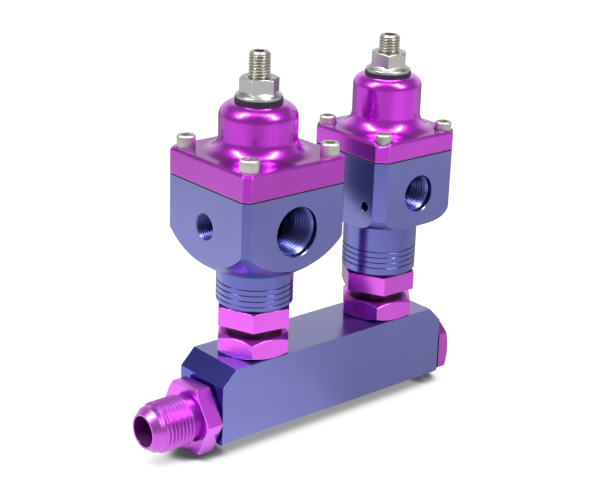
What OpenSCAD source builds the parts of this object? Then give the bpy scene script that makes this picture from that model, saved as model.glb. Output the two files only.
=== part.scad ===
// Twin fuel pressure regulator: two diaphragm regulators on swivel couplers, fed by one distribution log.
// X runs along the log with the inlet at -X, -Y is the front, Z is up from the log's underside.

/* [Distribution log] */
// Length of the log
log_l = 110; // [100:0.5:130]
// Width of the log
log_w = 25.8; // [24:0.1:32]
// Height of the log
log_h = 29.2; // [27:0.1:36]
// Slope cut across the top of each end
log_end_cut = 6; // [3:0.5:8]
// Small chamfer along the log's lower edges
log_edge = 0.8; // [0.3:0.1:1.2]
// Distance between the two regulators' axes
regulator_pitch = 62.4; // [60:0.2:66]
// Height of the fuel channel above the log's underside
channel_z = 8.8; // [8.6:0.1:11]
// Diameter of the fuel channel
channel_d = 10.5; // [8:0.5:11]

/* [Inlet fitting and end plug] */
// Thread of the two end ports (9/16-18)
end_thread_d = 14.29; // [12:0.01:14.5]
// Length of thread screwed into the log's end
end_thread_l = 11; // [9:0.5:13]
// Width across flats of the two end hexagons
end_hex_af = 25.2; // [22:0.1:26]
// Thickness of the inlet fitting's hexagon
inlet_hex_t = 6.6; // [5:0.1:9]
// Thickness of the end plug's hexagon
plug_hex_t = 5.2; // [4:0.1:8]
// Thickness of the round face under each end hexagon
end_seat_t = 1.1; // [0.6:0.1:1.6]
// Flare thread of the inlet (3/4-16)
flare_thread_d = 19.05; // [18:0.01:20]
// Length of the flare thread
flare_thread_l = 12.2; // [8:0.1:13]
// Length of the plain neck between hexagon and flare thread
flare_neck_l = 1.4; // [1:0.1:6]
// Length of the nose in front of the flare thread
flare_nose_l = 4.8; // [4:0.1:6]
// Bore of the inlet at its nose
flare_bore_d = 11.7; // [9:0.1:12.5]
// Bore of the inlet inside the log
inlet_bore_d = 9.4; // [7:0.1:10]

/* [Swivel couplers] */
// Width across flats of the coupler hexagons
coupler_hex_af = 26; // [24:0.1:28]
// Height of the lower hexagon
lower_hex_h = 7.8; // [6:0.1:10]
// Diameter of the round collar between the hexagons
collar_d = 21.2; // [20:0.1:24]
// Height of the round collar
collar_h = 3.5; // [1.5:0.1:4]
// Height of the upper hexagon
upper_hex_h = 7.3; // [6:0.1:10]
// Height of the round face on top of the upper hexagon
neck_seat_h = 0.3; // [0.2:0.1:1]
// Thread at both ends of a coupler (3/4-16)
coupler_thread_d = 19.05; // [18:0.01:20]
// Length of thread at each end of a coupler
coupler_thread_l = 12.4; // [11:0.1:13]
// Wire of the swivel's retaining ring
swivel_wire_d = 1.2; // [0.8:0.1:1.4]
// Bore of the coupler
coupler_bore_d = 11; // [9:0.1:12]
// Bore under the valve spring's ledge
ledge_bore_d = 7.8; // [6:0.1:8.4]
// Diameter of the swivel spigot
spigot_d = 16; // [15:0.1:17]
// Length of the swivel spigot
spigot_l = 6.5; // [6.2:0.1:7]

/* [Regulator bodies] */
// Width of the front regulator's square body
front_block_w = 46.7; // [44:0.1:50]
// Width of the rear regulator's square body
rear_block_w = 40.4; // [38:0.1:44]
// Corner chamfer of the front body
front_corner = 2.4; // [1:0.1:4]
// Corner chamfer of the rear body
rear_corner = 3.7; // [1:0.1:5]
// Height of the front body above the bottom of its neck
front_body_h = 47.4; // [45:0.1:52]
// Height of the rear body above the bottom of its neck
rear_body_h = 49.2; // [47:0.1:54]
// Radius of the front body's turned, domed underside
front_dome_r = 38; // [37:0.1:42]
// Height of the dome's centre above the bottom of the neck
front_dome_h = 48.9; // [47:0.1:50]
// Height of the rear body's flat underside above the bottom of its neck
rear_base_h = 22; // [19:0.1:24]
// Radius turned on the lower corners of the rear body
rear_base_r = 6; // [3:0.1:7]
// Diameter of the round neck
neck_d = 28.6; // [27:0.1:31]
// Chamfer at the bottom of the neck
neck_edge = 1; // [0.4:0.1:1.5]
// Width of the fine grooves turned in the neck
groove_w = 0.6; // [0.3:0.1:1]
// Depth of the fine grooves
groove_depth = 0.45; // [0.2:0.05:0.8]
// Spacing of the fine grooves
groove_pitch = 2.15; // [1.5:0.05:2.6]
// Height of the front neck's lowest groove above the bottom of the neck
front_groove_h = 2.6; // [1.8:0.1:5]
// Height of the rear neck's lowest groove above the bottom of the neck
rear_groove_h = 3.8; // [1.8:0.1:8]

/* [Ports] */
// Height of the front body's port axis above the bottom of its neck
front_port_h = 33.2; // [30:0.1:35]
// Height of the rear body's port axis above the bottom of its neck
rear_port_h = 34.9; // [32:0.1:38]
// Bore of the front body's outlets (3/8 pipe thread)
front_port_d = 15.8; // [15:0.1:17.6]
// Bore of the rear body's outlets (1/4 pipe thread)
rear_port_d = 11.4; // [11:0.1:13.2]
// Plain mouth of the front body's outlets
front_mouth_d = 18.4; // [18:0.1:19.4]
// Plain mouth of the rear body's outlets
rear_mouth_d = 14; // [13.6:0.1:15]
// Depth of the outlets' plain mouth
mouth_l = 2.2; // [1.2:0.1:3]
// Bore of the gauge ports (1/8 pipe thread)
gauge_d = 8.8; // [8:0.1:9.4]
// Chamfer at the mouth of the gauge ports
port_edge = 0.55; // [0.3:0.05:1]
// Chamfer at the mouth of the outlets and screw holes
mouth_edge = 0.25; // [0.1:0.05:0.5]
// Depth of the gauge ports
gauge_depth = 9; // [7:0.5:10]
// Bore of the bracket screw holes
bracket_hole_d = 3.6; // [3:0.1:4.5]
// Depth of the bracket screw holes
bracket_depth = 7; // [5:0.5:8]
// Distance between the two bracket screw holes
bracket_pitch = 24; // [22:0.2:26]
// Height of the bracket screw holes below the port axis
bracket_drop = 3.5; // [2:0.1:6]

/* [Caps] */
// Thickness of the front cap's square flange
front_flange_t = 9.6; // [7:0.1:11]
// Thickness of the rear cap's square flange
rear_flange_t = 7.2; // [6.4:0.1:9]
// Chamfer along the top edge of the flanges
flange_edge = 0.9; // [0.3:0.1:1.2]
// Diameter of the front cap's tower
front_tower_d = 28.6; // [27:0.1:31]
// Diameter of the rear cap's tower
rear_tower_d = 26; // [24.4:0.1:28]
// Height of the front tower above its flange
front_tower_h = 18; // [17.4:0.1:21]
// Height of the rear tower above its flange
rear_tower_h = 20.3; // [19.6:0.1:23]
// Radius of the front tower's shoulder
front_shoulder_r = 5.3; // [3:0.1:5.6]
// Radius of the rear tower's shoulder
rear_shoulder_r = 4.1; // [2:0.1:4.4]
// Radius of the hollow fillet between tower and flange
tower_fillet_r = 6.1; // [4:0.1:6.6]
// Thickness of the cap's roof
roof_t = 4.6; // [4:0.1:6]

/* [Diaphragm and valve] */
// Thickness of the diaphragm
diaphragm_t = 0.5; // [0.4:0.05:1.2]
// How far the diaphragm's edge sits back from the faces
diaphragm_inset = 0.3; // [0.1:0.05:0.6]
// Diameter of the front diaphragm's free area
front_chamber_d = 34; // [32:0.5:36]
// Diameter of the rear diaphragm's free area
rear_chamber_d = 29; // [28:0.5:31]
// Thickness of the diaphragm's clamp plates
plate_t = 1.8; // [1.2:0.1:2.4]
// Diameter of the valve's push rod
rod_d = 3.2; // [2.4:0.1:4]
// Diameter of the valve seat's hole
seat_hole_d = 7.6; // [6:0.1:8]
// Opening of the valve
valve_travel = 1.2; // [0.8:0.1:1.6]
// Wire of the main spring
main_wire_d = 2.2; // [1.6:0.1:2.6]
// Mean diameter of the main spring
main_coil_d = 16.4; // [14:0.1:17]
// Coils of the main spring
main_coils = 3.5; // [2.5:0.5:4]
// Wire of the valve spring
valve_wire_d = 0.8; // [0.5:0.1:1]
// Mean diameter of the valve spring
valve_coil_d = 9; // [8.6:0.1:9.4]
// Coils of the valve spring
valve_coils = 4.5; // [3:0.5:5]

/* [Adjuster and fasteners] */
// Thread of the adjusting screw (5/16-24)
stud_d = 7.94; // [7:0.01:8.4]
// Height of the front adjusting screw above its tower
front_stud_h = 18.2; // [14:0.1:22]
// Height of the rear adjusting screw above its tower
rear_stud_h = 15.1; // [13:0.1:20]
// Hexagon socket in the adjusting screw
stud_socket_af = 3.97; // [3:0.01:4.5]
// Width across flats of the lock nut
nut_af = 12.7; // [12:0.1:14]
// Height of the lock nut
nut_h = 7.4; // [5:0.1:8]
// Diameter of the lock nut's flange
nut_flange_d = 16.8; // [16:0.1:18.4]
// Thickness of the lock nut's flange at its rim
nut_flange_t = 1; // [0.6:0.1:2]
// Height of the cone between that flange and the lock nut's flats
nut_flange_rise = 1.3; // [0.8:0.1:3.4]
// Diameter of the sealing washers
washer_d = 17.4; // [16.6:0.1:17.8]
// Thickness of the sealing washer on the front cap
front_washer_t = 1.7; // [1:0.1:3]
// Thickness of the sealing washer on the rear cap
rear_washer_t = 1.3; // [1:0.1:3]
// Thread of the cap screws (8-32)
screw_d = 4.17; // [3.5:0.01:4.8]
// Head diameter of the front cap screws
front_head_d = 6.86; // [6:0.01:7.6]
// Head diameter of the rear cap screws
rear_head_d = 6.2; // [5.7:0.01:6.9]
// Head height of the cap screws
screw_head_h = 4.4; // [3.6:0.1:5]
// Hexagon socket in the cap screws
screw_socket_af = 3.57; // [2.5:0.01:4]
// Length of thread that a cap screw has in the body
screw_grip = 9; // [6:0.5:12]
// Distance of the front cap screws from the faces of the body
front_screw_inset = 5.1; // [4.6:0.1:6]
// Distance of the rear cap screws from the faces of the body
rear_screw_inset = 4.6; // [4.4:0.1:5.4]
// Depth to which the rear cap screws' heads are sunk
rear_head_sunk = 1.5; // [0.4:0.1:2]

/* [Hidden] */

$fn = 64;
front = 0;
rear = 1;
purple = "#b04cc4";
blue = "#6d6fb4";
steel = "#b9b6ae";
black = "#1d1d20";
brass = "#b58a45";

// Clearances and small allowances
eps = 0.01;
cut = 1;
thread_gap = 0.05;
slip_gap = 0.05;
swivel_gap = 0.1;
face_gap = 0.3;
spring_gap = 0.05;
port_floor = 0.8;

// O-rings and their grooves
seal_d = 2.2;
seal_room = 0.1;
seal_w = seal_d + 2 * seal_room;
thread_groove = 1.5;
swivel_seal_d = 1.4;

// Hexagons and cones
hex_chamfer_angle = 30;
hex_face = 0.96;
inlet_hex_face = 1.06;
upper_hex_face = 1.11;
nut_face = 0.98;
neck_seat_d = 0.98 * coupler_hex_af;

// Inlet fitting, measured outwards from the log's end
inlet_hex_turn = 35;
flare_angle = 37;
flare_rim = 0.7;
flare_lead = 0.7;
flare_undercut = 1.3;
flare_cone_d = 17.1;
flare_tip_d = flare_bore_d + 2 * flare_rim;
flare_neck_d = flare_thread_d - 2 * flare_undercut;
cone_l = (flare_cone_d - flare_tip_d) / 2 / tan(flare_angle);
neck_at = end_seat_t + inlet_hex_t;
thread_at = neck_at + flare_neck_l;
nose_at = thread_at + flare_thread_l;
tip_at = nose_at + flare_nose_l;

// Sizes of each regulator, front one first
block_w = [front_block_w, rear_block_w];
corner = [front_corner, rear_corner];
body_h = [front_body_h, rear_body_h];
port_h = [front_port_h, rear_port_h];
port_d = [front_port_d, rear_port_d];
mouth_d = [front_mouth_d, rear_mouth_d];
groove_h = [front_groove_h, rear_groove_h];
flange_t = [front_flange_t, rear_flange_t];
tower_d = [front_tower_d, rear_tower_d];
tower_h = [front_tower_h, rear_tower_h];
shoulder_r = [front_shoulder_r, rear_shoulder_r];
chamber_d = [front_chamber_d, rear_chamber_d];
stud_h = [front_stud_h, rear_stud_h];
washer_t = [front_washer_t, rear_washer_t];
screw_inset = [front_screw_inset, rear_screw_inset];
head_sunk = [0, rear_head_sunk];
head_d = [front_head_d, rear_head_d];
axis_x = [-regulator_pitch / 2, regulator_pitch / 2];
lower_hex_turn = [50, 49];
upper_hex_turn = [50.5, 57.5];
groove_count = 4;

// Heights of the stack, from the log upwards
collar_z = log_h + lower_hex_h + swivel_gap;
upper_hex_z = collar_z + collar_h;
neck_z = upper_hex_z + upper_hex_h + neck_seat_h;
coupler_top_z = neck_z + coupler_thread_l;
port_z = [for (i = [front, rear]) neck_z + port_h[i]];
body_top = [for (i = [front, rear]) neck_z + body_h[i]];
flange_z = [for (i = [front, rear]) body_top[i] + diaphragm_t];
flange_top = [for (i = [front, rear]) flange_z[i] + flange_t[i]];
tower_top = [for (i = [front, rear]) flange_top[i] + tower_h[i]];
washer_top = [for (i = [front, rear]) tower_top[i] + washer_t[i]];
stud_top = [for (i = [front, rear]) tower_top[i] + stud_h[i]];
roof_z = [for (i = [front, rear]) tower_top[i] - roof_t];

// Coupler seats and O-ring grooves
drill_spare = 2;
coupler_port_d = coupler_thread_d + 2 * thread_gap;
coupler_port_depth = coupler_thread_l + drill_spare;
coupler_groove_r = coupler_thread_d / 2 - thread_groove;
coupler_counterbore_r = coupler_groove_r + seal_d + seal_room;
end_port_d = end_thread_d + 2 * thread_gap;
end_port_depth = end_thread_l + drill_spare;
end_groove_r = end_thread_d / 2 - thread_groove;
end_counterbore_r = end_groove_r + seal_d + seal_room;
end_seat_rim = 2.3;
end_seat_d = 2 * (end_counterbore_r + end_seat_rim);
spigot_groove_r = spigot_d / 2 - swivel_seal_d;
spigot_tip_z = collar_z - spigot_l;
swivel_land = 0.9;
swivel_groove_w = swivel_seal_d + 2 * seal_room;
swivel_groove_z = spigot_tip_z + swivel_land;
wire_groove_w = swivel_wire_d + 2 * seal_room;
wire_groove_z = swivel_groove_z + swivel_groove_w + swivel_land;

// Valve and chamber
seat_t = 5;
seat_wall = 4.7;
seat_shoulder = 1;
seat_cone = 1;
seat_d = seat_hole_d + 2 * seat_wall;
valve_cavity_d = seat_d - 2 * seat_shoulder;
valve_cavity_h = 2.4;
seat_z = neck_z + coupler_port_depth + valve_cavity_h;
seat_top_z = seat_z + seat_t;
chamber_bore_d = [seat_d + 4, seat_d + 1];
chamber_step = 4.5;
poppet_lap = 1.3;
poppet_d = seat_hole_d + 2 * poppet_lap;
poppet_t = 2.4;
poppet_top_z = seat_z - valve_travel - slip_gap;
valve_spring_bay = 6.6;
ledge_z = coupler_top_z - valve_spring_bay;
gauge_drill_d = 3.2;
port_shoulder = 1;

// Diaphragm plates, main spring and its seat
plate_margin = 4.5;
plate_d = [for (i = [front, rear]) chamber_d[i] - 2 * plate_margin];
rivet_d = 4.4;
rivet_head = 0.6;
spring_pilot_h = 2.2;
spring_pilot_gap = 0.6;
spring_pilot_d = main_coil_d - main_wire_d - 2 * spring_pilot_gap;
tower_wall = 2.7;
spring_chamber_d = [for (i = [front, rear]) tower_d[i] - 2 * tower_wall];
plate_room = plate_t + valve_travel + 2 * face_gap;
upper_plate_top = [for (i = [front, rear]) flange_z[i] + plate_t];
seat_disc_t = 2.2;
seat_disc_rim = 0.4;
seat_boss_h = 1.6;
seat_boss_rim = 1;
adjuster_up = 2;
seat_boss_top = [for (i = [front, rear]) roof_z[i] - adjuster_up - face_gap];
seat_disc_z = [for (i = [front, rear]) seat_boss_top[i] - seat_boss_h - seat_disc_t];

// Springs, screws, adjusting screw and nut
spring_sides = 8;
spring_steps = 20;
head_room = 0.7;
clear_hole_d = screw_d + 4 * thread_gap;
screw_socket_depth = 2.2;
stud_end_cut = 0.8;
stud_socket_depth = 5;
nut_turn = [35, 46];

function screw_offset(i) = block_w[i] / 2 - screw_inset[i];
function hex_r(af) = af / sqrt(3);

// Places its children on the axis of one regulator
module on_axis(i) {
    translate([axis_x[i], 0, 0]) children();
}

// Places its children at the four screw positions of one regulator
module at_screws(i) {
    for (sx = [-1, 1], sy = [-1, 1])
        translate([axis_x[i] + sx * screw_offset(i), sy * screw_offset(i), 0]) children();
}

// Square outline with cut corners
module cut_square(w, c) {
    h = w / 2;
    polygon([[h, h - c], [h - c, h], [c - h, h], [-h, h - c],
             [-h, c - h], [c - h, -h], [h - c, -h], [h, c - h]]);
}

// Hexagon prism with its top corners turned off at 30 degrees, and its lower ones too where asked
module hex_head(af, h, face = hex_face, lower = false) {
    rise = (hex_r(af) - af / 2 * face) * tan(hex_chamfer_angle);
    foot = lower ? rise : 0;
    intersection() {
        cylinder(r = hex_r(af), h = h, $fn = 6);
        union() {
            if (lower) cylinder(r1 = af / 2 * face, r2 = hex_r(af), h = rise);
            translate([0, 0, foot]) cylinder(r = hex_r(af) + cut, h = h - rise - foot);
            translate([0, 0, h - rise]) cylinder(r1 = hex_r(af), r2 = af / 2 * face, h = rise);
        }
    }
}

module ring(r_in, r_out, h) {
    difference() {
        cylinder(r = r_out, h = h);
        translate([0, 0, -cut]) cylinder(r = r_in, h = h + 2 * cut);
    }
}

module o_ring(groove_r, d) {
    rotate_extrude() translate([groove_r + d / 2, 0]) circle(d = d);
}

// Round bore with a chamfered mouth at z = 0, drilled downwards
module port_bore(d, depth, edge) {
    translate([0, 0, -depth]) cylinder(d = d, h = depth + eps);
    translate([0, 0, -edge]) cylinder(d1 = d, d2 = d + 2 * edge, h = edge);
    cylinder(d = d + 2 * edge, h = cut);
}

// Outlet: plain mouth, lead-in cone and thread bore, drilled downwards from z = 0
module outlet_bore(i, depth) {
    lead = (mouth_d[i] - port_d[i]) / 2;
    port_bore(mouth_d[i], mouth_l, mouth_edge);
    translate([0, 0, -mouth_l - lead]) cylinder(d1 = port_d[i], d2 = mouth_d[i], h = lead);
    translate([0, 0, -depth]) cylinder(d = port_d[i], h = depth);
}

// Points of a closed tube that follows a helix, and the spring made from it
function helix_point(coil_r, rise, turns, t) =
    [coil_r * cos(360 * turns * t), coil_r * sin(360 * turns * t), rise * t];
function wire_point(coil_r, wire_r, rise, turns, t, a) =
    helix_point(coil_r + wire_r * cos(a), rise, turns, t) + [0, 0, wire_r * sin(a)];
module coil_spring(coil_d, wire_d, length, turns) {
    n = round(turns * spring_steps);
    rise = length - wire_d;
    points = [for (k = [0 : n], s = [0 : spring_sides - 1])
        wire_point(coil_d / 2, wire_d / 2, rise, turns, k / n, -360 * s / spring_sides)];
    sides = [for (k = [0 : n - 1], s = [0 : spring_sides - 1])
        let (t = (s + 1) % spring_sides)
        [k * spring_sides + s, k * spring_sides + t, (k + 1) * spring_sides + t, (k + 1) * spring_sides + s]];
    ends = [[for (s = [spring_sides - 1 : -1 : 0]) s],
            [for (s = [0 : spring_sides - 1]) n * spring_sides + s]];
    translate([0, 0, wire_d / 2]) polyhedron(points, concat(sides, ends), convexity = 8);
}

// Log: extruded bar, ends cut back at the top, drilled through and tapped at both ends and twice on top
module log_block() {
    color(blue) difference() {
        rotate([90, 0, 0]) translate([0, 0, -log_w / 2]) linear_extrude(log_w)
            polygon([[-log_l / 2, 0], [log_l / 2, 0], [log_l / 2, log_h - log_end_cut],
                     [log_l / 2 - log_end_cut, log_h], [log_end_cut - log_l / 2, log_h],
                     [-log_l / 2, log_h - log_end_cut]]);
        for (s = [-1, 1]) translate([0, s * log_w / 2, 0]) rotate([45, 0, 0])
            cube([log_l + 2 * cut, log_edge * sqrt(2), log_edge * sqrt(2)], center = true);
        translate([-log_l / 2 - cut, 0, channel_z]) rotate([0, 90, 0])
            cylinder(d = channel_d, h = log_l + 2 * cut);
        for (s = [-1, 1]) translate([s * log_l / 2, 0, channel_z]) rotate([0, s * 90, 0]) end_port();
        for (i = [front, rear]) translate([axis_x[i], 0, log_h]) coupler_port();
    }
}

module end_port() {
    translate([0, 0, -end_port_depth]) cylinder(d = end_port_d, h = end_port_depth + cut);
    translate([0, 0, -seal_w]) cylinder(r = end_counterbore_r, h = seal_w + cut);
}

module coupler_port() {
    translate([0, 0, -coupler_port_depth]) cylinder(d = coupler_port_d, h = coupler_port_depth + cut);
    translate([0, 0, -seal_w]) cylinder(r = coupler_counterbore_r, h = seal_w + cut);
}

// Threaded stub of an end fitting, with the O-ring groove next to its seating face at z = 0
module end_stub() {
    translate([0, 0, -end_thread_l]) cylinder(d = end_thread_d, h = end_thread_l - seal_w);
    translate([0, 0, -seal_w - eps]) cylinder(r = end_groove_r, h = seal_w + 2 * eps);
    cylinder(d = end_seat_d, h = end_seat_t + eps);
}

// Inlet: union turned from hexagon bar, with a 37 degree flare nose
module inlet_fitting() {
    color(purple) translate([-log_l / 2, 0, channel_z]) rotate([0, -90, 0]) difference() {
        union() {
            end_stub();
            translate([0, 0, end_seat_t]) rotate([0, 0, inlet_hex_turn])
                hex_head(end_hex_af, inlet_hex_t, inlet_hex_face);
            translate([0, 0, neck_at - eps]) cylinder(d = flare_neck_d, h = flare_neck_l + 2 * eps);
            translate([0, 0, thread_at]) cylinder(d1 = flare_neck_d, d2 = flare_thread_d, h = flare_lead);
            translate([0, 0, thread_at + flare_lead])
                cylinder(d = flare_thread_d, h = flare_thread_l - 2 * flare_lead);
            translate([0, 0, nose_at - flare_lead])
                cylinder(d1 = flare_thread_d, d2 = flare_cone_d, h = flare_lead);
            translate([0, 0, nose_at - eps]) cylinder(d = flare_cone_d, h = flare_nose_l - cone_l + 2 * eps);
            translate([0, 0, tip_at - cone_l]) cylinder(d1 = flare_cone_d, d2 = flare_tip_d, h = cone_l);
        }
        translate([0, 0, -end_thread_l - cut])
            cylinder(d = inlet_bore_d, h = tip_at + end_thread_l + 2 * cut);
        translate([0, 0, end_seat_t]) cylinder(d = flare_bore_d, h = tip_at);
    }
}

module inlet_o_ring() {
    color(black) translate([-log_l / 2 + seal_w / 2, 0, channel_z]) rotate([0, 90, 0])
        o_ring(end_groove_r, seal_d);
}

// Plug: closes the far end of the channel, hexagon headed
module end_plug() {
    color(purple) translate([log_l / 2, 0, channel_z]) rotate([0, 90, 0]) {
        end_stub();
        translate([0, 0, end_seat_t]) hex_head(end_hex_af, plug_hex_t);
    }
}

module end_plug_o_ring() {
    color(black) translate([log_l / 2 - seal_w / 2, 0, channel_z]) rotate([0, 90, 0])
        o_ring(end_groove_r, seal_d);
}

// Lower half of a coupler: screwed into the log, bored as the socket of the swivel
module coupler_lower(i) {
    color(purple) on_axis(i) difference() {
        union() {
            translate([0, 0, log_h - coupler_thread_l])
                cylinder(d = coupler_thread_d, h = coupler_thread_l - seal_w);
            translate([0, 0, log_h - seal_w - eps]) cylinder(r = coupler_groove_r, h = seal_w + 2 * eps);
            translate([0, 0, log_h]) rotate([0, 0, lower_hex_turn[i]])
                hex_head(coupler_hex_af, lower_hex_h, lower = true);
        }
        translate([0, 0, log_h - coupler_thread_l - cut])
            cylinder(d = coupler_bore_d, h = coupler_thread_l + lower_hex_h + 2 * cut);
        translate([0, 0, spigot_tip_z - face_gap]) cylinder(d = spigot_d + 2 * slip_gap, h = spigot_l + cut);
        translate([0, 0, wire_groove_z])
            cylinder(d = spigot_d + swivel_wire_d + 2 * seal_room, h = wire_groove_w);
    }
}

// Retaining ring that lets the two halves turn but not part
module swivel_wire(i) {
    color(steel) on_axis(i) translate([0, 0, wire_groove_z + wire_groove_w / 2])
        o_ring((spigot_d - swivel_wire_d) / 2, swivel_wire_d);
}

module log_o_ring(i) {
    color(black) on_axis(i) translate([0, 0, log_h - seal_w / 2]) o_ring(coupler_groove_r, seal_d);
}

// Upper half of a coupler: its spigot turns in the lower half, its thread screws into the regulator's neck
module coupler_upper(i) {
    color(purple) on_axis(i) difference() {
        union() {
            translate([0, 0, spigot_tip_z]) cylinder(d = spigot_d, h = spigot_l + eps);
            translate([0, 0, collar_z]) cylinder(d = collar_d, h = collar_h + eps);
            translate([0, 0, upper_hex_z]) rotate([0, 0, upper_hex_turn[i]])
                hex_head(coupler_hex_af, upper_hex_h, upper_hex_face);
            translate([0, 0, neck_z - neck_seat_h - eps])
                cylinder(d = neck_seat_d, h = neck_seat_h + eps);
            translate([0, 0, neck_z - eps]) cylinder(r = coupler_groove_r, h = seal_w + 2 * eps);
            translate([0, 0, neck_z + seal_w]) cylinder(d = coupler_thread_d, h = coupler_thread_l - seal_w);
        }
        translate([0, 0, spigot_tip_z - cut])
            cylinder(d = ledge_bore_d, h = coupler_top_z - spigot_tip_z + 2 * cut);
        translate([0, 0, ledge_z]) cylinder(d = coupler_bore_d, h = coupler_top_z - ledge_z + cut);
        translate([0, 0, swivel_groove_z]) ring(spigot_groove_r, spigot_d / 2 + cut, swivel_groove_w);
        translate([0, 0, wire_groove_z])
            ring((spigot_d - swivel_wire_d) / 2 - seal_room, spigot_d / 2 + cut, wire_groove_w);
    }
}

module swivel_o_ring(i) {
    color(black) on_axis(i) translate([0, 0, swivel_groove_z + swivel_groove_w / 2])
        o_ring(spigot_groove_r, swivel_seal_d);
}

module neck_o_ring(i) {
    color(black) on_axis(i) translate([0, 0, neck_z + seal_w / 2]) o_ring(coupler_groove_r, seal_d);
}

// Solid that the body's square is turned to: domed under the front one, flat with round corners at the rear
module turned_underside(i) {
    if (i == front) {
        translate([0, 0, neck_z + front_dome_h]) sphere(r = front_dome_r);
    } else {
        base_z = neck_z + rear_base_h;
        turned_r = rear_block_w / 2 + rear_base_r;
        translate([0, 0, base_z]) cylinder(r = turned_r - rear_base_r, h = body_h[i]);
        translate([0, 0, base_z + rear_base_r]) cylinder(r = turned_r, h = body_h[i]);
        translate([0, 0, base_z + rear_base_r]) o_ring(turned_r - 2 * rear_base_r, 2 * rear_base_r);
    }
}

module neck_shape(i) {
    top = body_h[i] - chamber_step;
    difference() {
        union() {
            translate([0, 0, neck_z + neck_edge]) cylinder(d = neck_d, h = top);
            translate([0, 0, neck_z]) cylinder(d1 = neck_d - 2 * neck_edge, d2 = neck_d, h = neck_edge);
        }
        for (k = [0 : groove_count - 1])
            translate([0, 0, neck_z + groove_h[i] + k * groove_pitch - groove_w / 2])
                ring(neck_d / 2 - groove_depth, neck_d / 2 + cut, groove_w);
    }
}

// Body: square bar turned to a neck below, with two outlets, a gauge port and two bracket screw holes
module body(i) {
    gauge_side = i == front ? -1 : 1;
    half = block_w[i] / 2;
    color(blue) on_axis(i) difference() {
        union() {
            intersection() {
                translate([0, 0, neck_z]) linear_extrude(body_h[i]) cut_square(block_w[i], corner[i]);
                turned_underside(i);
            }
            neck_shape(i);
        }
        translate([0, 0, neck_z]) rotate([180, 0, 0]) coupler_port();
        translate([0, 0, neck_z + coupler_port_depth - cut])
            cylinder(d = valve_cavity_d, h = valve_cavity_h + 2 * cut);
        translate([0, 0, seat_z]) cylinder(d = seat_d, h = seat_t + cut);
        translate([0, 0, seat_top_z]) cylinder(d = chamber_bore_d[i], h = body_h[i]);
        translate([0, 0, body_top[i] - chamber_step]) cylinder(d = chamber_d[i], h = chamber_step + cut);
        for (s = [-1, 1]) translate([0, s * half, port_z[i]]) rotate([-s * 90, 0, 0]) {
            outlet_bore(i, half - chamber_bore_d[i] / 2 - port_floor);
            translate([0, 0, -half]) cylinder(d = port_d[i] - 2 * port_shoulder, h = half);
        }
        translate([gauge_side * half, 0, port_z[i]]) rotate([0, gauge_side * 90, 0]) {
            port_bore(gauge_d, gauge_depth, port_edge);
            translate([0, 0, -half]) cylinder(d = gauge_drill_d, h = half);
        }
        for (s = [-1, 1])
            translate([-gauge_side * half, s * bracket_pitch / 2, port_z[i] - bracket_drop])
                rotate([0, -gauge_side * 90, 0]) port_bore(bracket_hole_d, bracket_depth, mouth_edge);
        translate([-axis_x[i], 0, body_top[i] - screw_grip - drill_spare]) at_screws(i)
            cylinder(d = screw_d + 2 * thread_gap, h = screw_grip + drill_spare + cut);
    }
}

// Seat: ring pressed into the body, its hole opened out towards the outlets
module valve_seat(i) {
    color(brass) on_axis(i) translate([0, 0, seat_z]) difference() {
        cylinder(d = seat_d - 2 * slip_gap, h = seat_t);
        translate([0, 0, -cut]) cylinder(d = seat_hole_d, h = seat_t + 2 * cut);
        translate([0, 0, seat_t - seat_cone])
            cylinder(d1 = seat_hole_d, d2 = seat_hole_d + 2 * seat_cone, h = seat_cone + eps);
    }
}

// Poppet: disc that closes the seat from below, with the push rod up to the diaphragm
module valve_poppet(i) {
    rod_top = body_top[i] - plate_t;
    color(steel) on_axis(i) union() {
        translate([0, 0, poppet_top_z - poppet_t]) cylinder(d = poppet_d, h = poppet_t);
        translate([0, 0, poppet_top_z - eps]) cylinder(d = rod_d, h = rod_top - poppet_top_z + eps);
    }
}

module valve_spring(i) {
    length = poppet_top_z - poppet_t - ledge_z - 2 * spring_gap;
    color(steel) on_axis(i) translate([0, 0, ledge_z + spring_gap])
        coil_spring(valve_coil_d, valve_wire_d, length, valve_coils);
}

// Diaphragm: sheet clamped between body and cap, its edge shows as the dark seam
module diaphragm(i) {
    color(black) difference() {
        on_axis(i) translate([0, 0, body_top[i]]) linear_extrude(diaphragm_t)
            cut_square(block_w[i] - 2 * diaphragm_inset, corner[i]);
        on_axis(i) translate([0, 0, body_top[i] - cut]) cylinder(d = rivet_d, h = diaphragm_t + 2 * cut);
        translate([0, 0, body_top[i] - cut]) at_screws(i)
            cylinder(d = clear_hole_d, h = diaphragm_t + 2 * cut);
    }
}

// Lower clamp plate with the rivet that holds both plates
module lower_plate(i) {
    color(steel) on_axis(i) union() {
        translate([0, 0, body_top[i] - plate_t]) cylinder(d = plate_d[i], h = plate_t);
        translate([0, 0, body_top[i] - eps])
            cylinder(d = rivet_d - 2 * slip_gap, h = diaphragm_t + plate_t + spring_pilot_h + rivet_head);
    }
}

module upper_plate(i) {
    color(steel) on_axis(i) translate([0, 0, flange_z[i]]) difference() {
        union() {
            cylinder(d = plate_d[i], h = plate_t);
            cylinder(d = spring_pilot_d, h = plate_t + spring_pilot_h);
        }
        translate([0, 0, -cut]) cylinder(d = rivet_d, h = plate_t + spring_pilot_h + 2 * cut);
    }
}

module main_spring(i) {
    length = seat_disc_z[i] - upper_plate_top[i] - 2 * spring_gap;
    color(steel) on_axis(i) translate([0, 0, upper_plate_top[i] + spring_gap])
        coil_spring(main_coil_d, main_wire_d, length, main_coils);
}

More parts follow.
